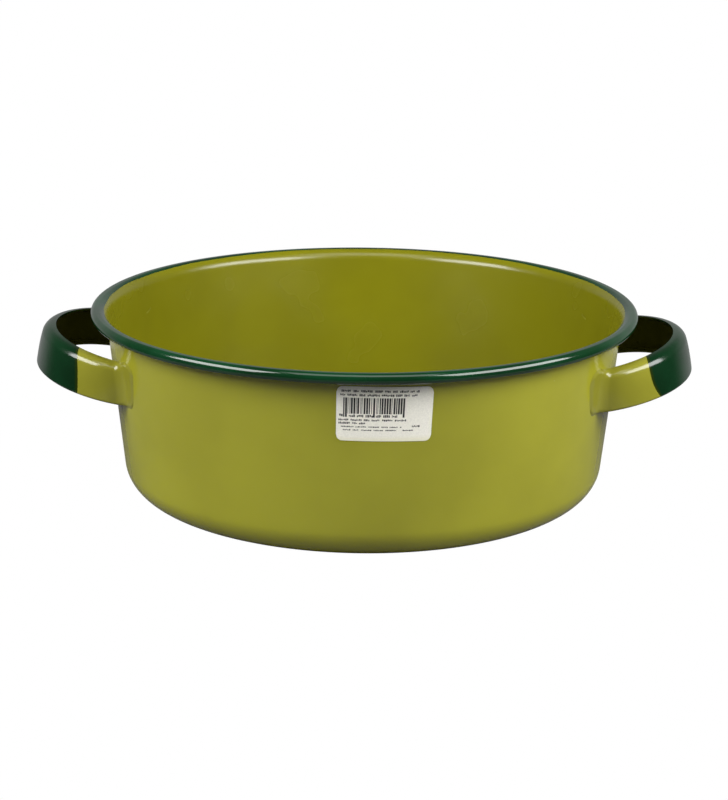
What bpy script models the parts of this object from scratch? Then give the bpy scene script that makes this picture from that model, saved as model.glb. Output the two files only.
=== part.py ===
# Two-handled round pan of enamelled sheet steel.
#
# A deep-drawn shell with a curled rim, two stamped channel handles spot-welded to the wall,
# and a small paper label. Metres, +Z up. The origin is the middle of the flat base, on the
# plane that the pan stands on. The handles point along +X and -X, the label faces -Y.

import math

import bmesh
import bpy

# ---- driving dimensions (metres, radians) ----
SHEET = 0.0012                      # enamelled sheet, both faces coated
GAP = 0.0003                        # clearance between neighbouring solids

RIM_OUTER_RADIUS = 0.159            # outside of the curled rim
PAN_HEIGHT = 0.1092                 # base to the top of the rim
CURL_RADIUS = 0.0031                # outside radius of the curl's section
CURL_START = math.radians(155)      # the curl's section runs from here, over the top,
CURL_END = math.radians(-125)       # down and under to here
FLARE_OUT = 0.0006                  # first step of the flare from the wall to the curl
FLARE_UP = 0.0018
WALL_TOP_RADIUS = 0.150             # outside of the wall at WALL_TOP_HEIGHT
WALL_TOP_HEIGHT = 0.1026
WALL_TAPER = math.radians(6.15)     # lean of the wall from the vertical
BASE_CORNER_RADIUS = 0.0188         # outside radius between base and wall

HANDLE_TIP = 0.1897                 # middle of the strap's thickness at the grip, along X
HANDLE_TIP_HEIGHT = 0.0853          # middle of the strap's height at the grip
HANDLE_TILT = math.radians(11.8)    # the loop rises outwards by this much
LOOP_DEPTH = 0.0500                 # the loop is half an ellipse: from the grip to its widest point
LOOP_HALF_WIDTH = 0.0625
BEND_RADIUS = 0.009                 # bend between loop and welding flange
STRAP_HALF_HEIGHT = 0.0122
STRAP_TOP_RADIUS = 0.0045           # generous roll along the top edge, for the fingers
STRAP_BOTTOM_RADIUS = 0.0014
STRAP_LIP = 0.0064                  # how far the rolled edges reach inwards
FLATTEN_START = 0.80                # share of the loop after which the channel opens out flat
FLATTEN_AT_BEND = 0.44              # how flat the channel is where the bend begins
FLANGE_END_ANGLE = math.radians(31.5)   # plan angle of the flange's end, from the X axis
FLANGE_HEIGHT_SHARE = 0.9           # flange height against the strap's
FLANGE_CORNER = 0.007
FLANGE_FOOT = 0.1317                # distance along X at which the bend runs into the flange

WELD_RADIUS = 0.0028
WELD_THICKNESS = 0.0006
WELD_SIDES = 12
WELD_SPREAD = 0.0055                # each weld's distance above or below the strap's middle
WELD_ANGLE = math.radians(29.4)     # plan angle of the welds from the X axis

LABEL_WIDTH = 0.050
LABEL_HEIGHT = 0.030
LABEL_THICKNESS = 0.0003
LABEL_MIDDLE_HEIGHT = 0.0849
LABEL_ANGLE = math.radians(5.2)     # turned this far from -Y towards +X
LABEL_CORNER = 0.0035

AROUND = 60                         # facets round the pan
BASE_CORNER_STEPS = 7
CURL_STEPS = 9
LOOP_STEPS = 10
BEND_STEPS = 4
FLANGE_STEPS = 4
WEB_STEPS = 2                       # from the strap's middle to its rolled edge
EDGE_STEPS = 3
LABEL_STEPS = 10
LABEL_CORNER_STEPS = 4

# ---- colours (scene-linear) ----
LIME = (0.235, 0.225, 0.008, 1.0)
GREEN = (0.006, 0.060, 0.022, 1.0)
STEEL = (0.45, 0.45, 0.44, 1.0)
PAPER = (0.80, 0.79, 0.74, 1.0)


def clear_scene():
    for obj in list(bpy.data.objects):
        bpy.data.objects.remove(obj, do_unlink=True)


def make_material(name, colour, roughness, metallic):
    material = bpy.data.materials.new(name)
    material.use_nodes = True
    shader = material.node_tree.nodes["Principled BSDF"]
    shader.inputs["Base Color"].default_value = colour
    shader.inputs["Roughness"].default_value = roughness
    shader.inputs["Metallic"].default_value = metallic
    material.diffuse_color = colour
    return material


def add_object(name, mesh_builder, material, sharp_angle=math.radians(35)):
    """Link one mesh object, its faces turned outwards and its round faces smooth."""
    bmesh.ops.recalc_face_normals(mesh_builder, faces=mesh_builder.faces)
    mesh = bpy.data.meshes.new(name)
    mesh_builder.to_mesh(mesh)
    mesh_builder.free()
    mesh.materials.append(material)
    mesh.shade_smooth()
    mesh.set_sharp_from_angle(angle=sharp_angle)
    obj = bpy.data.objects.new(name, mesh)
    bpy.context.scene.collection.objects.link(obj)
    return obj


def arc(centre, radius, start, end, steps):
    """Points of a circular arc in a plane, both ends included."""
    points = []
    for i in range(steps + 1):
        angle = start + (end - start) * i / steps
        points.append((centre[0] + radius * math.cos(angle), centre[1] + radius * math.sin(angle)))
    return points


def offset_outline(points, distance):
    """Shift an open plane line sideways, to its left when distance is positive."""
    shifted = []
    last = len(points) - 1
    for i, (a, b) in enumerate(points):
        before = points[max(i - 1, 0)]
        after = points[min(i + 1, last)]
        da = after[0] - before[0]
        db = after[1] - before[1]
        length = math.hypot(da, db)
        shifted.append((a - db / length * distance, b + da / length * distance))
    return shifted


def skin_rings(mesh_builder, rings, closed_path):
    """Join a list of equal closed rings of points, and cap the ends of an open path."""
    ring_verts = [[mesh_builder.verts.new(point) for point in ring] for ring in rings]
    count = len(ring_verts)
    size = len(ring_verts[0])
    for i in range(count if closed_path else count - 1):
        near = ring_verts[i]
        far = ring_verts[(i + 1) % count]
        for j in range(size):
            k = (j + 1) % size
            mesh_builder.faces.new((near[j], near[k], far[k], far[j]))
    if not closed_path:
        mesh_builder.faces.new(ring_verts[0])
        mesh_builder.faces.new(ring_verts[-1])


def wall_radius(height):
    """Outside radius of the tapered wall at a height."""
    return WALL_TOP_RADIUS - (WALL_TOP_HEIGHT - height) * math.tan(WALL_TAPER)


# ---- pan shell: base and wall, one pressing ----
def shell_line():
    """Middle line of the sheet from the base's rim to the top of the wall, as (radius, height)."""
    middle_radius = BASE_CORNER_RADIUS - SHEET / 2
    tangent_height = BASE_CORNER_RADIUS * (1 - math.sin(WALL_TAPER))
    flat_radius = wall_radius(tangent_height) - BASE_CORNER_RADIUS * math.cos(WALL_TAPER)
    centre = (flat_radius, BASE_CORNER_RADIUS)
    line = arc(centre, middle_radius, -math.pi / 2, -WALL_TAPER, BASE_CORNER_STEPS)
    top = WALL_TOP_HEIGHT - SHEET / 2
    inwards = SHEET / 2 / math.cos(WALL_TAPER)
    line.append((wall_radius(top) - inwards, top))
    return line


def build_shell(material):
    line = shell_line()
    outer = offset_outline(line, -SHEET / 2)
    inner = offset_outline(line, SHEET / 2)
    outer[0] = (outer[0][0], 0.0)
    inner[0] = (inner[0][0], SHEET)
    profile = outer + inner[::-1]
    mesh_builder = bmesh.new()
    columns = []
    for i in range(AROUND):
        angle = 2 * math.pi * i / AROUND
        columns.append([
            mesh_builder.verts.new((radius * math.cos(angle), radius * math.sin(angle), height))
            for radius, height in profile
        ])
    for i in range(AROUND):
        near = columns[i]
        far = columns[(i + 1) % AROUND]
        for j in range(len(profile) - 1):
            mesh_builder.faces.new((near[j], near[j + 1], far[j + 1], far[j]))
    mesh_builder.faces.new([column[0] for column in columns])
    mesh_builder.faces.new([column[-1] for column in columns])
    return add_object("pan_shell", mesh_builder, material)


# ---- rolled rim: the sheet's edge, flared and curled outwards and under ----
def build_rim(material):
    middle_radius = CURL_RADIUS - SHEET / 2
    centre = (RIM_OUTER_RADIUS - CURL_RADIUS, PAN_HEIGHT - CURL_RADIUS)
    curl = arc(centre, middle_radius, CURL_START, CURL_END, CURL_STEPS)
    foot_height = WALL_TOP_HEIGHT + GAP
    foot = (wall_radius(foot_height) - SHEET / 2 / math.cos(WALL_TAPER), foot_height)
    knee = (foot[0] + FLARE_OUT, foot_height + FLARE_UP)
    line = [foot, knee] + curl
    profile = offset_outline(line, SHEET / 2) + offset_outline(line, -SHEET / 2)[::-1]
    rings = []
    for i in range(AROUND):
        angle = 2 * math.pi * i / AROUND
        rings.append([
            (radius * math.cos(angle), radius * math.sin(angle), height)
            for radius, height in profile
        ])
    mesh_builder = bmesh.new()
    skin_rings(mesh_builder, rings, closed_path=True)
    return add_object("rolled_rim", mesh_builder, material)


# ---- handles: a stamped channel bent to a loop, with a flange at each end ----
FLANGE_STANDOFF = WELD_THICKNESS + 2 * GAP + SHEET / 2
LOOP_CENTRE = HANDLE_TIP - LOOP_DEPTH


def strap_height_at(x, level):
    """Height of a point of the strap at plan distance x, level above the strap's middle."""
    drop = (HANDLE_TIP - x) * math.tan(HANDLE_TILT)
    return HANDLE_TIP_HEIGHT - drop + level * math.cos(HANDLE_TILT)


def flange_height(level):
    """Height of the flange, which runs level along the wall."""
    return strap_height_at(FLANGE_FOOT, level)


def loop_point(loop_x, angle):
    """Point and outward normal of the loop's half ellipse, as (x, y, normal x, normal y)."""
    normal_x = math.cos(angle) / LOOP_DEPTH
    normal_y = math.sin(angle) / LOOP_HALF_WIDTH
    length = math.hypot(normal_x, normal_y)
    return (
        loop_x + LOOP_DEPTH * math.cos(angle),
        LOOP_HALF_WIDTH * math.sin(angle),
        normal_x / length,
        normal_y / length,
    )


def bend_centre(loop_x, angle):
    """Centre of a bend that leaves the loop at an angle."""
    x, y, normal_x, normal_y = loop_point(loop_x, angle)
    return x + BEND_RADIUS * normal_x, y + BEND_RADIUS * normal_y


def loop_end_angle(loop_x, seat):
    """Angle at which the loop must end for its bend to touch a circle of radius seat."""
    near = math.radians(50)
    far = math.radians(125)
    for _ in range(40):
        middle = (near + far) / 2
        if math.hypot(*bend_centre(loop_x, middle)) > seat + BEND_RADIUS:
            near = middle
        else:
            far = middle
    return near


def channel_share(flatness):
    """1 for the full channel section, 0 for the flat strip, eased in between."""
    flatness = min(max(flatness, 0.0), 1.0)
    return 1 - flatness * flatness * (3 - 2 * flatness)


def half_path(level):
    """One half of the strap's plan path at a level, from the grip to the end of the bend.

    Each entry is (x, y, normal x, normal y, shape), where shape runs from 1, the full
    channel section, to 0, the flat strip of the flange.
    """
    loop_x = LOOP_CENTRE - level * math.sin(HANDLE_TILT)
    seat = wall_radius(flange_height(level)) + FLANGE_STANDOFF
    loop_end = loop_end_angle(loop_x, seat)
    bend_x, bend_y = bend_centre(loop_x, loop_end)
    path = []
    for i in range(LOOP_STEPS + 1):
        part = i / LOOP_STEPS
        flatness = (part - FLATTEN_START) / (1 - FLATTEN_START) * FLATTEN_AT_BEND
        path.append((*loop_point(loop_x, loop_end * part), channel_share(flatness)))
    turn_start = math.atan2(path[-1][3], path[-1][2])
    flange_start = math.atan2(bend_y, bend_x)
    for i in range(1, BEND_STEPS + 1):
        part = i / BEND_STEPS
        angle = turn_start + (flange_start - turn_start) * part
        normal = (math.cos(angle), math.sin(angle))
        shape = channel_share(FLATTEN_AT_BEND + (1 - FLATTEN_AT_BEND) * part)
        path.append((
            bend_x - BEND_RADIUS * normal[0], bend_y - BEND_RADIUS * normal[1], *normal, shape,
        ))
    return path, flange_start


def section_half(shape, edge_radius):
    """Half of the strap's section from its middle to one lip, as (outwards, away from middle)."""
    lift = STRAP_HALF_HEIGHT - SHEET / 2
    straight = lift - edge_radius
    channel = [(0.0, straight * i / WEB_STEPS) for i in range(WEB_STEPS + 1)]
    channel += arc((-edge_radius, straight), edge_radius, 0, math.pi / 2, EDGE_STEPS)[1:]
    channel.append((-STRAP_LIP, lift))
    last = len(channel) - 1
    flat = [(0.0, STRAP_HALF_HEIGHT * FLANGE_HEIGHT_SHARE * i / last) for i in range(last + 1)]
    return [
        (a[0] * shape + b[0] * (1 - shape), a[1] * shape + b[1] * (1 - shape))
        for a, b in zip(channel, flat)
    ]


def section_outline(shape, squeeze):
    """Closed outline of the strap's section, counted once round."""
    upper = section_half(shape, STRAP_TOP_RADIUS)
    lower = section_half(shape, STRAP_BOTTOM_RADIUS)
    middle_line = [(a, -b) for a, b in lower[:0:-1]] + upper
    middle_line = [(a, b * squeeze) for a, b in middle_line]
    outside = offset_outline(middle_line, SHEET / 2)
    inside = offset_outline(middle_line, -SHEET / 2)
    return outside + inside[::-1]


def corner_squeeze(left):
    """Height share of the flange where this much of its length is left before its end."""
    reach = min(left, FLANGE_CORNER)
    bite = FLANGE_CORNER - math.sqrt(FLANGE_CORNER ** 2 - (FLANGE_CORNER - reach) ** 2)
    return 1 - bite / STRAP_HALF_HEIGHT


def handle_rings():
    """Rings of points from the middle of the grip to the flange end, at +X and +Y."""
    middle_path, flange_start = half_path(0.0)
    rings = []
    for station, entry in enumerate(middle_path):
        ring = []
        for outwards, level in section_outline(entry[4], 1.0):
            x, y, normal_x, normal_y, _ = half_path(level)[0][station]
            height = strap_height_at(x, level)
            ring.append((x + normal_x * outwards, y + normal_y * outwards, height))
        rings.append(ring)
    for step in range(1, FLANGE_STEPS + 1):
        part = step / FLANGE_STEPS
        left = (1 - part) * (FLANGE_END_ANGLE - flange_start) * WALL_TOP_RADIUS
        ring = []
        for outwards, level in section_outline(0.0, corner_squeeze(left)):
            level_start = half_path(level)[1]
            angle = level_start + (FLANGE_END_ANGLE - level_start) * part
            height = flange_height(level)
            radius = wall_radius(height) + FLANGE_STANDOFF + outwards
            ring.append((radius * math.cos(angle), radius * math.sin(angle), height))
        rings.append(ring)
    return rings


def build_handle(name, side, material):
    half = handle_rings()
    rings = [[(x, -y, z) for x, y, z in ring] for ring in half[:0:-1]] + half
    rings = [[(side * x, side * y, z) for x, y, z in ring] for ring in rings]
    mesh_builder = bmesh.new()
    skin_rings(mesh_builder, rings, closed_path=False)
    return add_object(name, mesh_builder, material)


# ---- weld nuggets between each flange and the wall ----
def build_weld(name, side_x, side_y, level, material):
    height = flange_height(level)
    radius = wall_radius(height) + GAP
    lean = WALL_TAPER
    outwards = (math.cos(WELD_ANGLE), math.sin(WELD_ANGLE))
    normal = (outwards[0] * math.cos(lean), outwards[1] * math.cos(lean), -math.sin(lean))
    along = (-outwards[1], outwards[0], 0.0)
    up = (outwards[0] * math.sin(lean), outwards[1] * math.sin(lean), math.cos(lean))
    centre = (radius * outwards[0], radius * outwards[1], height)
    rings = []
    for depth in (0.0, WELD_THICKNESS):
        ring = []
        for i in range(WELD_SIDES):
            angle = 2 * math.pi * i / WELD_SIDES
            a = WELD_RADIUS * math.cos(angle)
            b = WELD_RADIUS * math.sin(angle)
            x, y, z = (centre[k] + normal[k] * depth + along[k] * a + up[k] * b for k in range(3))
            ring.append((side_x * x, side_y * y, z))
        rings.append(ring)
    mesh_builder = bmesh.new()
    skin_rings(mesh_builder, rings, closed_path=False)
    return add_object(name, mesh_builder, material)


# ---- paper label, bent to the wall ----
def label_outline():
    """Upper edge of the round-cornered label from left to right, as (across, up)."""
    half_width = LABEL_WIDTH / 2 - LABEL_CORNER
    half_height = LABEL_HEIGHT / 2 - LABEL_CORNER
    corner = arc((half_width, half_height), LABEL_CORNER, math.pi / 2, 0, LABEL_CORNER_STEPS)
    straight = []
    for i in range(1, LABEL_STEPS):
        straight.append((half_width * (2 * i / LABEL_STEPS - 1), LABEL_HEIGHT / 2))
    return [(-across, up) for across, up in corner[::-1]] + straight + corner


def build_label(material):
    rings = []
    for across, top in label_outline():
        angle = LABEL_ANGLE + across / wall_radius(LABEL_MIDDLE_HEIGHT)
        ring = []
        for level, depth in ((-top, 0.0), (top, 0.0), (top, LABEL_THICKNESS), (-top, LABEL_THICKNESS)):
            height = LABEL_MIDDLE_HEIGHT + level
            radius = wall_radius(height) + GAP + depth
            ring.append((radius * math.sin(angle), -radius * math.cos(angle), height))
        rings.append(ring)
    mesh_builder = bmesh.new()
    skin_rings(mesh_builder, rings, closed_path=False)
    return add_object("price_label", mesh_builder, material)


def main():
    clear_scene()
    lime = make_material("lime_enamel", LIME, 0.18, 0.0)
    green = make_material("green_enamel", GREEN, 0.15, 0.0)
    steel = make_material("weld_steel", STEEL, 0.55, 1.0)
    paper = make_material("label_paper", PAPER, 0.6, 0.0)
    build_shell(lime)
    build_rim(green)
    build_handle("right_handle", 1, green)
    build_handle("left_handle", -1, green)
    for side_name, side_x in (("right", 1), ("left", -1)):
        for end_name, side_y in (("front", -1), ("back", 1)):
            for level_name, level in (("upper", WELD_SPREAD), ("lower", -WELD_SPREAD)):
                name = f"weld_{side_name}_{end_name}_{level_name}"
                build_weld(name, side_x, side_y, level, steel)
    build_label(paper)


main()
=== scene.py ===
"""Looks of the two-handled enamelled pan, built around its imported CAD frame."""
import math
import random

import bmesh
import bpy
from mathutils import Matrix, Vector


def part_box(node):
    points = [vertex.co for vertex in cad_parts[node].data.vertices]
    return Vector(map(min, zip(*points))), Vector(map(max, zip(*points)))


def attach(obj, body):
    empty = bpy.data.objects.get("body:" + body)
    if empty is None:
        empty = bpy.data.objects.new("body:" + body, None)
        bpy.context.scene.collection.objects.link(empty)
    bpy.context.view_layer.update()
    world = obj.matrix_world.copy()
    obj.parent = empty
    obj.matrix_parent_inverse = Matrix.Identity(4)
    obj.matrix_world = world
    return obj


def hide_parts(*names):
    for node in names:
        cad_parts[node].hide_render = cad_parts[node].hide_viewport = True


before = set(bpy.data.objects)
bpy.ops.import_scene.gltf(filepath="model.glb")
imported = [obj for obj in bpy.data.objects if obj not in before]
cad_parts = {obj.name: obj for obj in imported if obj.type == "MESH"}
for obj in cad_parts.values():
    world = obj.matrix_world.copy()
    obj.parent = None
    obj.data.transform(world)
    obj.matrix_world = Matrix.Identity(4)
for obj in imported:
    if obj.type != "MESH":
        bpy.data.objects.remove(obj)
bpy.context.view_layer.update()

MM = 0.001

# ---- sizes read from the frame ----
RIM_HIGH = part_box("rolled_rim")[1]
LABEL_LOW, LABEL_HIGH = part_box("price_label")
RIM_RADIUS = RIM_HIGH.x
PAN_HEIGHT = round(RIM_HIGH.z, 5)

# ---- pan, the same driving sizes as the CAD ----
SHEET = 1.2 * MM
WALL_TOP_RADIUS = 150.0 * MM
WALL_TOP_HEIGHT = 102.6 * MM
WALL_TAPER = math.radians(6.15)
BASE_CORNER = 18.8 * MM
BASE_HOLLOW = 0.5 * MM              # the base's middle stands this far off the table
BASE_REST_INSET = 9.0 * MM          # the base rests on a ring from here to the corner
BASE_HOLLOW_FADE = 45.0 * MM        # and rises to the hollow over this much of its radius
CURL_RADIUS = 3.1 * MM
CURL_END = math.radians(-150)       # where the curl's section stops, underneath
SHOULDER_RADIUS = 7.0 * MM          # where the wall turns outwards below the curl
SHOULDER_END = math.radians(91.5)   # the lime shoulder runs up to here, under the edging
EDGING_SIDE_RADIUS = 151.6 * MM     # the green edging begins here, inside the pan's left and right
EDGING_DIP = 2.7 * MM               # and this much further out at the front and back
EDGING_DIP_LEAN = 0.6 * MM          # a little more in front, a little less behind
EDGING_THICKNESS = 0.12 * MM

# ---- handles ----
HANDLE_TIP = 189.7 * MM
HANDLE_TIP_HEIGHT = 85.3 * MM
HANDLE_TILT = math.radians(11.8)
LOOP_DEPTH = 50.0 * MM
LOOP_HALF_WIDTH = 62.5 * MM
LOOP_CENTRE = HANDLE_TIP - LOOP_DEPTH
BEND_RADIUS = 9.0 * MM
STRAP_HALF_HEIGHT = 12.2 * MM
STRAP_TOP_RADIUS = 4.5 * MM
STRAP_BOTTOM_RADIUS = 1.2 * MM
STRAP_LIP = 6.4 * MM
STRAP_CROWN = 0.3 * MM
FLANGE_END_ANGLE = math.radians(30.6)
FLANGE_END_LEAN = 1.8               # radians per metre up the strap
FLANGE_TOP = 17.5 * MM              # the channel opens flat, so its flange stands higher
FLANGE_BOTTOM = -12.6 * MM
FLANGE_MIDDLE = (FLANGE_TOP + FLANGE_BOTTOM) / 2
FLANGE_HALF_HEIGHT = (FLANGE_TOP - FLANGE_BOTTOM) / 2
FLANGE_FILLET = 3.6 * MM
FLANGE_CORNER = 8.5 * MM
FLANGE_RISE = 0.75 * MM             # enamelled flange's outer face above the wall
FLANGE_STANDOFF = 0.8 * MM          # from the wall to the strap's middle line
FLANGE_EDGE_SINK = 0.15 * MM        # its edges run into the wall's enamel
FLANGE_BACK_SINK = 0.35 * MM
FLANGE_FOOT = 131.7 * MM
WELD_ANGLE = math.radians(29.4)
WELD_SPREAD = 5.5 * MM
WELD_DIMPLE_RADIUS = 2.6 * MM
WELD_DIMPLE_DEPTH = 0.07 * MM

# ---- label ----
LABEL_WIDTH = 50.4 * MM
LABEL_HEIGHT = 30.4 * MM
LABEL_CORNER = 3.4 * MM
LABEL_PAPER = 0.14 * MM
LABEL_ANGLE = math.radians(5.2)
LABEL_TILT = math.radians(-1.0)
LABEL_MIDDLE = (LABEL_LOW.z + LABEL_HIGH.z) / 2

LABEL_COLUMNS = 56
LABEL_ROWS = 16

# ---- label print, measured from the label's middle ----
PRINT_PROUD = 0.015 * MM
BAR_MODULE = 0.33 * MM
BAR_START = -21.6 * MM
BAR_END = 10.6 * MM
BAR_HEIGHT = 8.9 * MM
GUARD_DROP = 1.9 * MM               # how much longer the guard bars are
GUARD_REACH = 1.2 * MM              # bars this near an end are guard bars
GUARD_MIDDLE_REACH = 0.7 * MM
STROKE_GAP = 0.20 * MM
PRINT_ROWS_MM = (                   # start, end, baseline, height
    (-22.6, 17.6, 12.0, 1.25),
    (-23.2, 18.0, 9.8, 1.25),
    (-23.6, -21.9, -1.7, 1.5),
    (-18.6, 7.0, -1.9, 1.5),
    (-24.0, 12.4, -4.0, 1.1),
    (-24.0, -10.0, -5.8, 1.1),
    (-22.6, 8.4, -7.6, 0.7),
    (-21.6, 7.0, -9.4, 0.7),
    (14.6, 18.4, -7.4, 1.1),
    (9.8, 15.8, -9.4, 0.7),
)

AROUND = 288                        # facets round the pan

# ---- enamel, lowest and highest roughness ----
LIME_GLOSS = (0.10, 0.17)
LIME_INSIDE_GLOSS = (0.22, 0.28)
HANDLE_GLOSS = (0.14, 0.20)
GREEN_GLOSS = (0.08, 0.14)

# ---- colours, scene-linear ----
LIME = (0.300, 0.293, 0.0200)
LIME_DEEP = (0.262, 0.254, 0.0170)
# the inside's lime is the outside enamel darkened: painted shade for the inside of the pan
LIME_INSIDE_SHADED = (0.160, 0.154, 0.0038)
LIME_INSIDE_DEEP_SHADED = (0.140, 0.134, 0.0032)
LIME_HANDLE = (0.225, 0.217, 0.0210)
LIME_HANDLE_DEEP = (0.190, 0.183, 0.0175)
GREEN = (0.0030, 0.034, 0.0105)
GREEN_DEEP = (0.0024, 0.021, 0.0056)
GRIP_GREEN = (0.0018, 0.021, 0.0060)
GRIP_GREEN_DEEP = (0.0014, 0.0135, 0.0034)
DIP_EDGE = (0.0110, 0.0210, 0.0004)
GROUND_COAT = (0.0300, 0.0310, 0.0018)
PAPER = (0.90, 0.88, 0.780)
PAPER_FIBRE = (0.78, 0.76, 0.68)
PAPER_AGED = (0.72, 0.70, 0.45)
INK = (0.012, 0.012, 0.014)
INK_WORN = (0.11, 0.11, 0.105)
PALE_SPECK = (0.62, 0.60, 0.42)
GROUND_SPECK = (0.030, 0.031, 0.006)

# ---- where the grips' green ends: distance from the pan's axis, slant, sag ----
DIP_LEVEL = 0.081                   # the strap's middle height there
DIP_WANDER = 0.0022
RIGHT_DIP = (0.1625, -0.25, 22.0)
LEFT_DIP = (0.1605, -0.02, 2.0)


# ======================================================================
# shader helpers
# ======================================================================
class Shader:
    """A material with a Principled BSDF and short calls for the nodes around it."""

    def __init__(self, name, roughness):
        self.material = bpy.data.materials.new(name)
        self.material.use_nodes = True
        self.tree = self.material.node_tree
        self.shader = self.tree.nodes["Principled BSDF"]
        self.shader.inputs["Roughness"].default_value = roughness
        self.coords = self.tree.nodes.new("ShaderNodeTexCoord").outputs["Object"]

    def feed(self, socket, value):
        if isinstance(value, bpy.types.NodeSocket):
            self.tree.links.new(value, socket)
        elif isinstance(value, tuple) and len(value) == 3 and socket.type == "RGBA":
            socket.default_value = (*value, 1.0)
        else:
            socket.default_value = value

    def noise(self, scale, detail=2.0, roughness=0.5, vector=None):
        node = self.tree.nodes.new("ShaderNodeTexNoise")
        self.feed(node.inputs["Vector"], vector or self.coords)
        node.inputs["Scale"].default_value = scale
        node.inputs["Detail"].default_value = detail
        node.inputs["Roughness"].default_value = roughness
        return node.outputs["Fac"]

    def math(self, operation, a, b=0.0):
        node = self.tree.nodes.new("ShaderNodeMath")
        node.operation = operation
        self.feed(node.inputs[0], a)
        self.feed(node.inputs[1], b)
        return node.outputs[0]

    def ramp(self, value, low, high, to_low=0.0, to_high=1.0):
        node = self.tree.nodes.new("ShaderNodeMapRange")
        node.interpolation_type = "SMOOTHSTEP"
        self.feed(node.inputs["Value"], value)
        self.feed(node.inputs["From Min"], low)
        self.feed(node.inputs["From Max"], high)
        self.feed(node.inputs["To Min"], to_low)
        self.feed(node.inputs["To Max"], to_high)
        return node.outputs["Result"]

    def mix(self, factor, a, b):
        node = self.tree.nodes.new("ShaderNodeMix")
        node.data_type = "RGBA"
        self.feed(node.inputs["Factor"], factor)
        self.feed(node.inputs["A"], a)
        self.feed(node.inputs["B"], b)
        return node.outputs["Result"]

    def split(self, vector=None):
        node = self.tree.nodes.new("ShaderNodeSeparateXYZ")
        self.feed(node.inputs[0], vector or self.coords)
        return node.outputs

    def specks(self, scale, share, size):
        """1 inside small round specks: share of the cells have one, size is its radius."""
        node = self.tree.nodes.new("ShaderNodeTexVoronoi")
        self.feed(node.inputs["Vector"], self.coords)
        node.inputs["Scale"].default_value = scale
        picked = self.math("GREATER_THAN", self.split(node.outputs["Color"])[0], 1.0 - share)
        near = self.ramp(node.outputs["Distance"], size * scale * 0.6, size * scale, 1.0, 0.0)
        return self.math("MULTIPLY", picked, near)

    def bump(self, height, distance, strength=1.0):
        node = self.tree.nodes.new("ShaderNodeBump")
        node.inputs["Strength"].default_value = strength
        node.inputs["Distance"].default_value = distance
        self.feed(node.inputs["Height"], height)
        self.tree.links.new(node.outputs["Normal"], self.shader.inputs["Normal"])

    def colour(self, value):
        self.feed(self.shader.inputs["Base Color"], value)

    def gloss(self, low, high, scale=25.0):
        """Roughness that drifts between low and high in soft patches."""
        self.feed(self.shader.inputs["Roughness"], self.ramp(self.noise(scale), 0.3, 0.7, low, high))


def enamel_surface(shader, colour, roughness):
    """Fired enamel: faint pooling, sparse firing specks, orange peel and a glossy skin."""
    dark = shader.specks(55.0, 0.10, 0.00030)
    pale = shader.specks(38.0, 0.06, 0.00025)
    tinted = shader.mix(shader.math("MULTIPLY", dark, 0.75), colour, GROUND_COAT)
    shader.colour(shader.mix(shader.math("MULTIPLY", pale, 0.5), tinted, PALE_SPECK))
    peel = shader.noise(420.0, 2.0, 0.45)
    swell = shader.noise(70.0, 1.0)
    height = shader.math("ADD", shader.math("MULTIPLY", peel, 0.18), swell)
    shader.bump(height, 0.00030, 0.35)
    shader.gloss(*roughness)


def pooled(shader, thin, thick, scale=14.0):
    """Colour between a thin and a thick coat, in broad soft patches."""
    return shader.mix(shader.ramp(shader.noise(scale, 3.0), 0.35, 0.72), thin, thick)


def lime_enamel(name, thin, thick, roughness):
    shader = Shader(name, 0.14)
    enamel_surface(shader, pooled(shader, thin, thick), roughness)
    return shader.material


def green_enamel():
    shader = Shader("green_enamel", 0.12)
    enamel_surface(shader, pooled(shader, GREEN, GREEN_DEEP, 30.0), GREEN_GLOSS)
    return shader.material


def dipped_enamel(name, dip, slant, sag):
    """A handle's outside: lime, with its grip dipped in green up to a wavy line.

    dip is the line's distance from the pan's axis at the strap's middle height, slant its
    change per metre of height, and sag bends the line towards the grip at the lower edge.
    """
    shader = Shader(name, 0.12)
    x, _, z = shader.split()
    reach = shader.math("ABSOLUTE", x)
    level = shader.math("SUBTRACT", z, DIP_LEVEL)
    line = shader.math("ADD", dip, shader.math("MULTIPLY", level, slant))
    below = shader.math("MAXIMUM", shader.math("MULTIPLY", level, -1.0), 0.0)
    line = shader.math("ADD", line, shader.math("MULTIPLY", shader.math("POWER", below, 2.0), sag))
    wander = shader.math("MULTIPLY", shader.math("SUBTRACT", shader.noise(45.0, 1.0), 0.5), DIP_WANDER)
    past = shader.math("SUBTRACT", reach, shader.math("ADD", line, wander))
    green = shader.ramp(past, -0.00018, 0.00022)
    settled = shader.ramp(past, 0.0008, 0.0021)
    lime = pooled(shader, LIME_HANDLE, LIME_HANDLE_DEEP)
    grip = pooled(shader, GRIP_GREEN, GRIP_GREEN_DEEP, 30.0)
    edge = shader.mix(settled, DIP_EDGE, grip)
    enamel_surface(shader, shader.mix(green, lime, edge), HANDLE_GLOSS)
    return shader.material


def ground_coat():
    """Near-black first coat, left bare inside the hollow of each handle."""
    shader = Shader("ground_coat", 0.30)
    speckled = shader.ramp(shader.noise(900.0, 2.0), 0.62, 0.75)
    shader.colour(shader.mix(speckled, GROUND_COAT, GROUND_SPECK))
    shader.bump(shader.noise(500.0, 3.0), 0.00020, 0.4)
    shader.gloss(0.26, 0.40, 40.0)
    shader.shader.inputs["Specular IOR Level"].default_value = 0.25
    return shader.material


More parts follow.
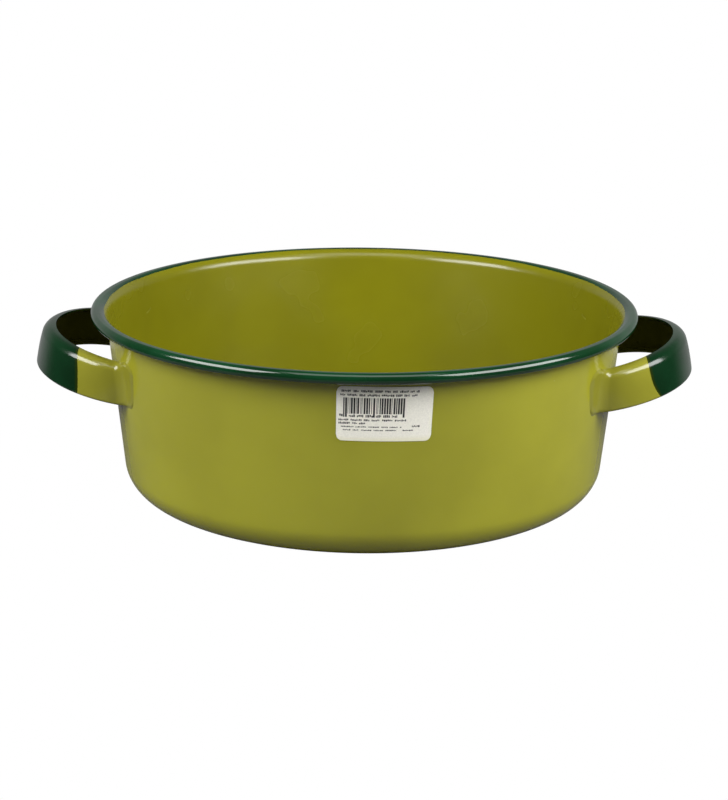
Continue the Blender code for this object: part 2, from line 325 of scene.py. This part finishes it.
def label_paper():
    """Coated label stock: faint fibre, a little yellowing towards the lower edge."""
    shader = Shader("label_paper", 0.5)
    fibre = shader.ramp(shader.noise(1400.0, 4.0, 0.7), 0.3, 0.7)
    clean = shader.mix(fibre, PAPER, PAPER_FIBRE)
    z = shader.split()[2]
    aged = shader.ramp(z, LABEL_LOW.z + 0.0035, LABEL_LOW.z - 0.0005)
    shader.colour(shader.mix(shader.math("MULTIPLY", aged, 0.55), clean, PAPER_AGED))
    shader.bump(shader.noise(900.0, 3.0), 0.00005, 0.5)
    shader.gloss(0.42, 0.55, 60.0)
    return shader.material


def thermal_ink():
    """Thermal print: uneven black that lets some paper through."""
    shader = Shader("thermal_ink", 0.55)
    patchy = shader.ramp(shader.noise(1600.0, 3.0, 0.6), 0.50, 0.80)
    shader.colour(shader.mix(patchy, INK, INK_WORN))
    shader.gloss(0.5, 0.6, 80.0)
    return shader.material


# ======================================================================
# mesh helpers
# ======================================================================
def add_piece(name, builder, materials, sharp=math.radians(50)):
    bmesh.ops.recalc_face_normals(builder, faces=builder.faces)
    mesh = bpy.data.meshes.new(name)
    builder.to_mesh(mesh)
    builder.free()
    for material in materials:
        mesh.materials.append(material)
    mesh.shade_smooth()
    mesh.set_sharp_from_angle(angle=sharp)
    piece = bpy.data.objects.new(name, mesh)
    bpy.context.scene.collection.objects.link(piece)
    return piece


def arc(centre, radius, start, end, steps):
    points = []
    for i in range(steps + 1):
        angle = start + (end - start) * i / steps
        points.append((centre[0] + radius * math.cos(angle), centre[1] + radius * math.sin(angle)))
    return points


def line(start, end, steps):
    """Points from start up to but not including end."""
    return [
        (start[0] + (end[0] - start[0]) * i / steps, start[1] + (end[1] - start[1]) * i / steps)
        for i in range(steps)
    ]


def smooth(value):
    value = min(max(value, 0.0), 1.0)
    return value * value * (3 - 2 * value)


def wall_radius(height):
    return WALL_TOP_RADIUS - (WALL_TOP_HEIGHT - height) * math.tan(WALL_TAPER)


def lathe(builder, profile_at, closed):
    """Turn a profile round Z. profile_at(angle) gives equal lists of (radius, height)."""
    columns = []
    for i in range(AROUND):
        angle = 2 * math.pi * i / AROUND
        columns.append([
            builder.verts.new((radius * math.cos(angle), radius * math.sin(angle), height))
            for radius, height in profile_at(angle)
        ])
    size = len(columns[0])
    for i in range(AROUND):
        near = columns[i]
        far = columns[(i + 1) % AROUND]
        for j in range(size if closed else size - 1):
            k = (j + 1) % size
            builder.faces.new((near[j], near[k], far[k], far[j]))
    return columns


def cap_with_fan(builder, columns, index, height):
    """Close the ring of vertices at one end of the profile with a fan to the axis."""
    middle = builder.verts.new((0.0, 0.0, height))
    for i, column in enumerate(columns):
        after = columns[(i + 1) % len(columns)]
        builder.faces.new((column[index], after[index], middle))


# ======================================================================
# pan
# ======================================================================
def press_drift(angle, height):
    """Small departure of the pressed wall from a true cone, in metres."""
    lift = min(height / PAN_HEIGHT, 1.0)
    slow = math.sin(2 * angle + 0.7) + 0.6 * math.sin(3 * angle + 2.1)
    quick = 0.35 * math.sin(7 * angle + 11 * lift) + 0.25 * math.sin(11 * angle - 7 * lift + 1.3)
    return (0.10 * slow + 0.05 * quick) * lift * (1.2 - lift) * MM


CURL_CENTRE = (RIM_RADIUS - CURL_RADIUS, PAN_HEIGHT - CURL_RADIUS)


def shoulder_circle(inner_radius):
    """Centre of the arc that leaves the inside of the wall and meets the curl's top smoothly."""
    centre_radius = inner_radius + SHOULDER_RADIUS
    gap = SHOULDER_RADIUS - CURL_RADIUS
    across = centre_radius - CURL_CENTRE[0]
    return centre_radius, CURL_CENTRE[1] - math.sqrt(gap * gap - across * across)


def build_bowl(outside_material, shaded_inside_material):
    """Base, wall and the lime shoulder below the edging: outside up, then inside down."""
    tangent_height = BASE_CORNER * (1 - math.sin(WALL_TAPER))
    flat = wall_radius(tangent_height) - BASE_CORNER * math.cos(WALL_TAPER)
    rest = flat - BASE_REST_INSET
    across_wall = SHEET / math.cos(WALL_TAPER)
    shoulder = shoulder_circle(wall_radius(WALL_TOP_HEIGHT) - across_wall)
    top = shoulder[1]
    corner = (flat, BASE_CORNER)

    def hollow(radius):
        return BASE_HOLLOW * smooth((rest - radius) / BASE_HOLLOW_FADE)

    outside = [(radius, hollow(radius)) for radius in (2 * MM, 30 * MM, 60 * MM)]
    for i in range(11):
        radius = rest - BASE_HOLLOW_FADE * (1 - i / 10)
        outside.append((radius, hollow(radius)))
    outside += line((rest + 3 * MM, 0.0), (flat, 0.0), 2)
    outside += arc(corner, BASE_CORNER, -math.pi / 2, -WALL_TAPER, 20)[:-1]
    outside += line((wall_radius(tangent_height), tangent_height), (wall_radius(top), top), 24)
    outside += arc(shoulder, SHOULDER_RADIUS - SHEET, math.pi, SHOULDER_END, 8)
    inside = arc(shoulder, SHOULDER_RADIUS, SHOULDER_END, math.pi, 16)[:-1]
    inside_top = wall_radius(top) - across_wall
    inside_foot = wall_radius(tangent_height) - across_wall
    inside += line((inside_top, top), (inside_foot, tangent_height), 24)
    inside += arc(corner, BASE_CORNER - SHEET, -WALL_TAPER, -math.pi / 2, 18)[:-1]
    for i in range(12):
        radius = flat * (1 - i / 12)
        inside.append((radius, SHEET + hollow(radius)))

    def profile(angle):
        placed = []
        for radius, height in outside + inside:
            drift = press_drift(angle, height) if radius > flat else 0.0
            placed.append((radius + drift, height))
        return placed

    builder = bmesh.new()
    columns = lathe(builder, profile, closed=False)
    cap_with_fan(builder, columns, 0, BASE_HOLLOW)
    cap_with_fan(builder, columns, -1, SHEET + BASE_HOLLOW)
    inner_verts = {vert for column in columns for vert in column[len(outside):]}
    for face in builder.faces:
        # the inside faces take the darkened lime, painted shade
        face.material_index = 1 if any(vert in inner_verts for vert in face.verts) else 0
    bowl = add_piece("bowl", builder, [outside_material, shaded_inside_material])
    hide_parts("pan_shell")
    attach(bowl, "root")


def build_edging(material):
    """The curled rim with its green coat, which ends in a slightly uneven line inside."""
    shoulder = shoulder_circle(wall_radius(WALL_TOP_HEIGHT) - SHEET / math.cos(WALL_TAPER))
    coat = SHOULDER_RADIUS + EDGING_THICKNESS
    meet = math.atan2(CURL_CENTRE[1] - shoulder[1], CURL_CENTRE[0] - shoulder[0])

    def profile(angle):
        drift = press_drift(angle, PAN_HEIGHT)
        wander = 0.22 * math.sin(5 * angle + 0.4) + 0.16 * math.sin(13 * angle + 2.0)
        wander += 0.10 * math.sin(29 * angle + 1.1)
        across = math.sin(angle)
        start_radius = EDGING_SIDE_RADIUS + wander * MM * (1 - 0.6 * across * across)
        start_radius += across * across * (EDGING_DIP - EDGING_DIP_LEAN * across)
        start = math.pi - math.acos((shoulder[0] - start_radius) / SHOULDER_RADIUS)
        outside = arc(shoulder, SHOULDER_RADIUS - 0.05 * MM, start + 0.012, start, 1)[:1]
        outside += arc(shoulder, coat, start, meet, 14)[:-1]
        outside += arc(CURL_CENTRE, CURL_RADIUS + EDGING_THICKNESS, meet, CURL_END, 40)
        tube = CURL_RADIUS - SHEET
        inside = arc(CURL_CENTRE, tube, CURL_END, meet, 24)[:-1]
        inside += arc(shoulder, SHOULDER_RADIUS - SHEET * 0.6, meet, start, 8)
        return [(radius + drift, min(height, PAN_HEIGHT)) for radius, height in outside + inside]

    builder = bmesh.new()
    lathe(builder, profile, closed=True)
    edging = add_piece("green_rim", builder, [material])
    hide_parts("rolled_rim")
    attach(edging, "root")


# ======================================================================
# handles
# ======================================================================
LOOP_STEPS = 70
BEND_STEPS = 22
FLANGE_STEPS = 26
FLANGE_CROWDING = 1.3               # above 1 the flange's rings crowd towards its end
WEB_POINTS = 17
EDGE_POINTS = 9
LIP_POINTS = 3


def strap_height_at(x, level):
    drop = (HANDLE_TIP - x) * math.tan(HANDLE_TILT)
    return HANDLE_TIP_HEIGHT - drop + level * math.cos(HANDLE_TILT)


def loop_point(loop_x, angle):
    """Point and outward normal of the loop's half ellipse, as (x, y, normal x, normal y)."""
    normal_x = math.cos(angle) / LOOP_DEPTH
    normal_y = math.sin(angle) / LOOP_HALF_WIDTH
    length = math.hypot(normal_x, normal_y)
    x = loop_x + LOOP_DEPTH * math.cos(angle)
    return x, LOOP_HALF_WIDTH * math.sin(angle), normal_x / length, normal_y / length


def bend_centre(loop_x, angle):
    x, y, normal_x, normal_y = loop_point(loop_x, angle)
    return x + BEND_RADIUS * normal_x, y + BEND_RADIUS * normal_y


def flange_height(level):
    return strap_height_at(FLANGE_FOOT, level)


def strap_turns(level):
    """Where the loop, the bend and the flange meet, in plan, at one level of the strap."""
    loop_x = LOOP_CENTRE - level * math.sin(HANDLE_TILT)
    reach = wall_radius(flange_height(level)) + FLANGE_STANDOFF + BEND_RADIUS
    near = math.radians(50)
    far = math.radians(125)
    for _ in range(26):
        middle = (near + far) / 2
        if math.hypot(*bend_centre(loop_x, middle)) > reach:
            near = middle
        else:
            far = middle
    bend_x, bend_y = bend_centre(loop_x, near)
    return loop_x, near, bend_x, bend_y, math.atan2(bend_y, bend_x)


def strap_point(stage, part, outwards, level):
    """A point of the strap: part runs from 0 to 1 along its loop, bend or flange."""
    loop_x, loop_end, bend_x, bend_y, flange_start = strap_turns(level)
    if stage == "loop":
        x, y, normal_x, normal_y = loop_point(loop_x, loop_end * part)
        return x + outwards * normal_x, y + outwards * normal_y, strap_height_at(x, level)
    if stage == "bend":
        _, _, normal_x, normal_y = loop_point(loop_x, loop_end)
        turn_start = math.atan2(normal_y, normal_x)
        angle = turn_start + (flange_start - turn_start) * part
        radius = BEND_RADIUS - outwards
        x = bend_x - radius * math.cos(angle)
        settled = smooth((part - 0.6) / 0.4)
        height = strap_height_at(bend_x - BEND_RADIUS * math.cos(angle), level)
        height += (flange_height(level) - height) * settled
        return x, bend_y - radius * math.sin(angle), height
    end_angle = FLANGE_END_ANGLE + FLANGE_END_LEAN * level
    angle = flange_start + (end_angle - flange_start) * part
    height = flange_height(level)
    radius = wall_radius(height) + FLANGE_STANDOFF + outwards
    return radius * math.cos(angle), radius * math.sin(angle), height


def channel_half(edge_radius):
    """Middle line of half the channel section, from its middle to one lip."""
    lift = STRAP_HALF_HEIGHT - SHEET / 2
    straight = lift - edge_radius
    edge = -edge_radius - STRAP_CROWN
    half = [(-STRAP_CROWN * (i / WEB_POINTS) ** 2, straight * i / WEB_POINTS) for i in range(WEB_POINTS)]
    half += arc((edge, straight), edge_radius, 0, math.pi / 2, EDGE_POINTS)
    reach = STRAP_LIP - edge_radius
    half += [(edge - reach * i / LIP_POINTS, lift) for i in range(1, LIP_POINTS + 1)]
    return half


def channel_line():
    """Middle line of the whole section from lower to upper lip, as (outwards, upwards)."""
    lower = channel_half(STRAP_BOTTOM_RADIUS)
    return [(a, -b) for a, b in lower[:0:-1]] + channel_half(STRAP_TOP_RADIUS)


def thicken(points, distance):
    moved = []
    last = len(points) - 1
    for i, (a, b) in enumerate(points):
        before = points[max(i - 1, 0)]
        after = points[min(i + 1, last)]
        da = after[0] - before[0]
        db = after[1] - before[1]
        length = math.hypot(da, db)
        moved.append((a + db / length * distance, b - da / length * distance))
    return moved


CHANNEL = channel_line()
CHANNEL_OUTSIDE = thicken(CHANNEL, SHEET / 2)
CHANNEL_INSIDE = thicken(CHANNEL, -SHEET / 2)
SECTION_SIZE = len(CHANNEL)


def flange_outline(rise):
    """The flange with its enamel fillet: outer line, then the line sunk in the wall."""
    outside = []
    inside = []
    for i in range(SECTION_SIZE):
        across = 2 * i / (SECTION_SIZE - 1) - 1
        level = FLANGE_MIDDLE + across * FLANGE_HALF_HEIGHT
        fillet = smooth((1 - abs(across)) * FLANGE_HALF_HEIGHT / FLANGE_FILLET)
        back_level = FLANGE_MIDDLE + across * FLANGE_HALF_HEIGHT * 0.97
        outside.append((rise * fillet - FLANGE_STANDOFF - FLANGE_EDGE_SINK * (1 - fillet), level))
        inside.append((-FLANGE_STANDOFF - FLANGE_BACK_SINK, back_level))
    return outside, inside


def weld_dimple(stage, part, level):
    """How far the weld electrodes pressed the flange in at this point."""
    if stage != "flange":
        return 0.0
    x, y, z = strap_point(stage, part, 0.0, level)
    angle = math.atan2(y, x)
    along = (angle - WELD_ANGLE) * wall_radius(z)
    up = min(abs(level - WELD_SPREAD), abs(level + WELD_SPREAD))
    return WELD_DIMPLE_DEPTH * smooth(1.25 - math.hypot(along, up) / WELD_DIMPLE_RADIUS)


def strap_ring(stage, part):
    """Closed ring of points: the outer face from bottom to top, then the inner face back."""
    flange_start = strap_turns(0.0)[-1]
    rise = FLANGE_RISE
    squeeze = 1.0
    if stage == "loop":
        shape = 1.0
    elif stage == "bend":
        shape = 1 - smooth((part - 0.05) / 0.95)
    else:
        shape = 0.0
        left = (1 - part) * (FLANGE_END_ANGLE - flange_start) * WALL_TOP_RADIUS
        reach = min(left, FLANGE_CORNER)
        bite = FLANGE_CORNER - math.sqrt(max(FLANGE_CORNER ** 2 - (FLANGE_CORNER - reach) ** 2, 0.0))
        squeeze = 1 - bite / FLANGE_HALF_HEIGHT
        rise = FLANGE_RISE * smooth(left / FLANGE_FILLET)
    flat_outside, flat_inside = flange_outline(rise)
    ring = []
    for solid, flat in ((CHANNEL_OUTSIDE, flat_outside), (CHANNEL_INSIDE[::-1], flat_inside[::-1])):
        for (a, b), (c, d) in zip(solid, flat):
            outwards = a * shape + c * (1 - shape)
            level = FLANGE_MIDDLE + (b * shape + d * (1 - shape) - FLANGE_MIDDLE) * squeeze
            if flat is flat_outside:
                outwards -= weld_dimple(stage, part, level)
            ring.append(strap_point(stage, part, outwards, level))
    return ring


def strap_rings():
    """Rings from the middle of the grip to one flange's end."""
    rings = [strap_ring("loop", i / LOOP_STEPS) for i in range(LOOP_STEPS + 1)]
    rings += [strap_ring("bend", i / BEND_STEPS) for i in range(1, BEND_STEPS + 1)]
    for i in range(1, FLANGE_STEPS + 1):
        rings.append(strap_ring("flange", 1 - (1 - i / FLANGE_STEPS) ** FLANGE_CROWDING))
    return rings


def build_handle(name, node, side, materials):
    half = strap_rings()
    rings = [[(x, -y, z) for x, y, z in ring] for ring in half[:0:-1]] + half
    builder = bmesh.new()
    ring_verts = [
        [builder.verts.new((side * x, side * y, z)) for x, y, z in ring] for ring in rings
    ]
    size = len(ring_verts[0])
    for near, far in zip(ring_verts, ring_verts[1:]):
        for j in range(size):
            k = (j + 1) % size
            face = builder.faces.new((near[j], near[k], far[k], far[j]))
            face.material_index = 1 if j >= SECTION_SIZE else 0
    builder.faces.new(ring_verts[0])
    builder.faces.new(ring_verts[-1])
    handle = add_piece(name, builder, materials, sharp=math.radians(60))
    welds = [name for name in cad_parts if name.startswith("weld_" + node.split("_")[0])]
    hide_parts(node, *welds)
    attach(handle, "root")


# ======================================================================
# label
# ======================================================================
def on_wall(across, up, proud):
    """A point of the label's plane, bent to the wall: across and up from its middle."""
    turned_across = across * math.cos(LABEL_TILT) - up * math.sin(LABEL_TILT)
    turned_up = across * math.sin(LABEL_TILT) + up * math.cos(LABEL_TILT)
    height = LABEL_MIDDLE + turned_up
    angle = LABEL_ANGLE + turned_across / wall_radius(LABEL_MIDDLE)
    radius = wall_radius(height) + press_drift(angle - math.pi / 2, height) + proud
    return Vector((radius * math.sin(angle), -radius * math.cos(angle), height))


def label_lift(across, up):
    """The paper stands a little off the wall at its free corners."""
    corner = (abs(across) / (LABEL_WIDTH / 2)) ** 6 * (abs(up) / (LABEL_HEIGHT / 2)) ** 4
    return 0.05 * MM + 0.25 * MM * corner * (1.0 if across > 0 else 0.5)


def label_half_height(across):
    """Half height of the rounded label at a distance across from its middle."""
    inset = max(abs(across) - (LABEL_WIDTH / 2 - LABEL_CORNER), 0.0)
    return LABEL_HEIGHT / 2 - LABEL_CORNER + math.sqrt(max(LABEL_CORNER ** 2 - inset ** 2, 0.0))


def build_label(material):
    builder = bmesh.new()
    front = []
    back = []
    for i in range(LABEL_COLUMNS + 1):
        turn = math.pi * (i / LABEL_COLUMNS - 0.5)
        spread = 0.35 * math.sin(turn) + 0.65 * (2 * i / LABEL_COLUMNS - 1)
        across = spread * LABEL_WIDTH / 2
        half = label_half_height(across)
        front_column = []
        back_column = []
        for j in range(LABEL_ROWS + 1):
            up = (2 * j / LABEL_ROWS - 1) * half
            lift = label_lift(across, up)
            front_column.append(builder.verts.new(on_wall(across, up, lift + LABEL_PAPER)))
            back_column.append(builder.verts.new(on_wall(across, up, lift)))
        front.append(front_column)
        back.append(back_column)
    for i in range(LABEL_COLUMNS):
        for j in range(LABEL_ROWS):
            builder.faces.new((front[i][j], front[i + 1][j], front[i + 1][j + 1], front[i][j + 1]))
            builder.faces.new((back[i][j], back[i][j + 1], back[i + 1][j + 1], back[i + 1][j]))
        for j in (0, LABEL_ROWS):
            builder.faces.new((front[i][j], front[i + 1][j], back[i + 1][j], back[i][j]))
    for i in (0, LABEL_COLUMNS):
        for j in range(LABEL_ROWS):
            builder.faces.new((front[i][j], front[i][j + 1], back[i][j + 1], back[i][j]))
    label = add_piece("label_sheet", builder, [material])
    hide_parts("price_label")
    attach(label, "root")


def print_patch(builder, left, right, low, high):
    """One inked rectangle, bent with the label. Corners are measured from the label's middle."""
    steps = max(1, int((right - left) / (1.5 * MM)))
    proud = LABEL_PAPER + PRINT_PROUD
    edges = []
    for i in range(steps + 1):
        across = left + (right - left) * i / steps
        edges.append([
            builder.verts.new(on_wall(across, up, label_lift(across, up) + proud)) for up in (low, high)
        ])
    for near, far in zip(edges, edges[1:]):
        builder.faces.new((near[0], far[0], far[1], near[1]))


def print_bars(builder, chance):
    """A made-up bar code: random bar and gap widths between two pairs of long guard bars."""
    at = BAR_START
    while at < BAR_END:
        width = BAR_MODULE * chance.choice((1, 2, 2, 3, 3))
        near_end = at - BAR_START < GUARD_REACH or BAR_END - at < GUARD_REACH
        near_middle = abs(at - (BAR_START + BAR_END) / 2) < GUARD_MIDDLE_REACH
        low = -GUARD_DROP if near_end or near_middle else 0.0
        print_patch(builder, at, min(at + width, BAR_END), low, BAR_HEIGHT)
        at += width + BAR_MODULE * chance.choice((1, 1, 1, 2, 2))


def print_row(builder, chance, start, end, low, size):
    """A row of small uneven dashes that stands for a line of small print."""
    at = start
    while at < end:
        word = chance.uniform(2.2, 6.5) * MM
        stop = min(at + word, end)
        while at < stop:
            stroke = chance.uniform(0.35, 0.85) * MM
            rise = chance.choice((0.7, 0.9, 1.0, 1.0))
            base = chance.choice((0.0, 0.0, 0.2)) * size
            print_patch(builder, at, at + stroke, low + base, low + size * rise)
            at += stroke + STROKE_GAP
        at += chance.uniform(0.7, 1.3) * MM


def build_print(material):
    chance = random.Random(7)
    builder = bmesh.new()
    print_bars(builder, chance)
    for start, end, low, size in PRINT_ROWS_MM:
        print_row(builder, chance, start * MM, end * MM, low * MM, size * MM)
    ink = add_piece("label_print", builder, [material])
    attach(ink, "root")


# ======================================================================
# stage, lights and camera
# ======================================================================
TABLE_RADIUS = 0.36
TABLE_ALBEDO = 0.16
ROOM_DARK = 0.05                    # the room behind and beside the camera
ROOM_BACK = 0.38                    # the pale backdrop behind the pan
ROOM_TOP = 0.12                     # above the backdrop
SWEEP_LEVEL = -0.0004               # just below the base, so that no faces coincide
TABLE_LEVEL = -0.0002
LIGHT_TARGET_HEIGHT = 0.07


def build_sweep():
    """Plain white floor and backdrop in one round sweep, seen only by the camera."""
    profile = [(radius, 0.0) for radius in (0.4, 1.5, 3.0)]
    profile += arc((3.0, 2.0), 2.0, -math.pi / 2, 0.0, 12)
    profile.append((5.0, 5.0))
    builder = bmesh.new()
    columns = lathe(builder, lambda angle: profile, closed=False)
    cap_with_fan(builder, columns, 0, 0.0)
    sweep = add_piece("white_sweep", builder, [])
    shader = Shader("sweep_white", 0.8)
    shader.colour((0.0, 0.0, 0.0))
    shader.shader.inputs["Emission Color"].default_value = (1.0, 1.0, 1.0, 1.0)
    shader.shader.inputs["Emission Strength"].default_value = 1.0
    shader.shader.inputs["Specular IOR Level"].default_value = 0.0
    sweep.data.materials.append(shader.material)
    sweep.location.z = SWEEP_LEVEL
    sweep.visible_diffuse = False
    sweep.visible_glossy = False
    sweep.visible_transmission = False
    sweep.visible_shadow = False


def build_table():
    """The pale table top that lights the pan from below. The camera looks through it."""
    builder = bmesh.new()
    bmesh.ops.create_circle(builder, cap_ends=True, segments=96, radius=TABLE_RADIUS)
    table = add_piece("table_bounce", builder, [])
    shader = Shader("table_pale", 0.8)
    shader.colour((TABLE_ALBEDO,) * 3)
    shader.shader.inputs["Specular IOR Level"].default_value = 0.0
    table.data.materials.append(shader.material)
    table.location.z = TABLE_LEVEL
    table.visible_camera = False


def add_softbox(name, azimuth, elevation, distance, width, height, power):
    """An area light aimed at the pan. Azimuth is counted from the front, positive to the right."""
    light = bpy.data.lights.new(name, "AREA")
    light.shape = "RECTANGLE"
    light.size = width
    light.size_y = height
    light.energy = power
    turn = math.radians(azimuth)
    rise = math.radians(elevation)
    target = Vector((0.0, 0.0, LIGHT_TARGET_HEIGHT))
    offset = Vector((math.sin(turn) * math.cos(rise), -math.cos(turn) * math.cos(rise), math.sin(rise)))
    holder = bpy.data.objects.new(name, light)
    holder.location = target + offset * distance
    holder.rotation_euler = (-offset).to_track_quat("-Z", "Y").to_euler()
    bpy.context.scene.collection.objects.link(holder)


def build_room():
    """World light: dark towards the camera, a pale backdrop up to a moderate height behind."""
    world = bpy.data.worlds.new("studio")
    world.use_nodes = True
    nodes = world.node_tree.nodes
    links = world.node_tree.links

    def fade(value, low, high, to_low, to_high):
        node = nodes.new("ShaderNodeMapRange")
        node.interpolation_type = "SMOOTHSTEP"
        links.new(value, node.inputs["Value"])
        for name, setting in (("From Min", low), ("From Max", high)):
            node.inputs[name].default_value = setting
        for name, setting in (("To Min", to_low), ("To Max", to_high)):
            if isinstance(setting, bpy.types.NodeSocket):
                links.new(setting, node.inputs[name])
            else:
                node.inputs[name].default_value = setting
        return node.outputs["Result"]

    split = nodes.new("ShaderNodeSeparateXYZ")
    links.new(nodes.new("ShaderNodeTexCoord").outputs["Generated"], split.inputs[0])
    backdrop = fade(split.outputs["Z"], 0.30, 0.60, ROOM_BACK, ROOM_TOP)
    strength = fade(split.outputs["Y"], 0.30, 0.75, ROOM_DARK, backdrop)
    links.new(strength, nodes["Background"].inputs["Strength"])
    nodes["Background"].inputs["Color"].default_value = (1.0, 1.0, 1.0, 1.0)
    bpy.context.scene.world = world


def build_lights():
    add_softbox("key_right", 62, 33, 0.85, 0.80, 0.42, 11.4)
    add_softbox("key_left", -60, 33, 0.85, 0.58, 0.42, 9.0)
    add_softbox("top_front", 0, 62, 1.3, 1.0, 0.7, 6.0)
    build_room()


# ---- camera ----
CAMERA_DISTANCE = 1.2062
CAMERA_ELEVATION = math.radians(13.96)
CAMERA_TURN = math.radians(0.9)
CAMERA_ROLL = 0.0104
CAMERA_TARGET_HEIGHT = 0.0972
CAMERA_LENS = 92.44
CAMERA_SHIFT = (-0.0003, -0.0970)


def build_camera():
    data = bpy.data.cameras.new("camera")
    data.lens = CAMERA_LENS
    data.sensor_width = 36.0
    data.shift_x, data.shift_y = CAMERA_SHIFT
    data.clip_start = 0.05
    data.clip_end = 60.0
    camera = bpy.data.objects.new("camera", data)
    target = Vector((0.0, 0.0, CAMERA_TARGET_HEIGHT))
    offset = Vector((
        math.sin(CAMERA_TURN) * math.cos(CAMERA_ELEVATION),
        -math.cos(CAMERA_TURN) * math.cos(CAMERA_ELEVATION),
        math.sin(CAMERA_ELEVATION),
    ))
    aim = (-offset).to_track_quat("-Z", "Y").to_matrix().to_4x4()
    roll = Matrix.Rotation(CAMERA_ROLL, 4, "Z")
    camera.matrix_world = Matrix.Translation(target + offset * CAMERA_DISTANCE) @ aim @ roll
    bpy.context.scene.collection.objects.link(camera)
    bpy.context.scene.camera = camera


build_camera()
build_lights()
build_sweep()
build_table()
lime_outside = lime_enamel("lime_outside", LIME, LIME_DEEP, LIME_GLOSS)
# the same lime darkened as painted shade for the pan's inside
lime_inside_shaded = lime_enamel("lime_inside_shaded", LIME_INSIDE_SHADED, LIME_INSIDE_DEEP_SHADED, LIME_INSIDE_GLOSS)
green = green_enamel()
dark = ground_coat()
build_bowl(lime_outside, lime_inside_shaded)
build_edging(green)
dipped_right = dipped_enamel("dipped_right", *RIGHT_DIP)
dipped_left = dipped_enamel("dipped_left", *LEFT_DIP)
build_handle("handle_right", "right_handle", 1, [dipped_right, dark])
build_handle("handle_left", "left_handle", -1, [dipped_left, dark])
build_label(label_paper())
build_print(thermal_ink())
bpy.context.scene.view_settings.view_transform = "Standard"
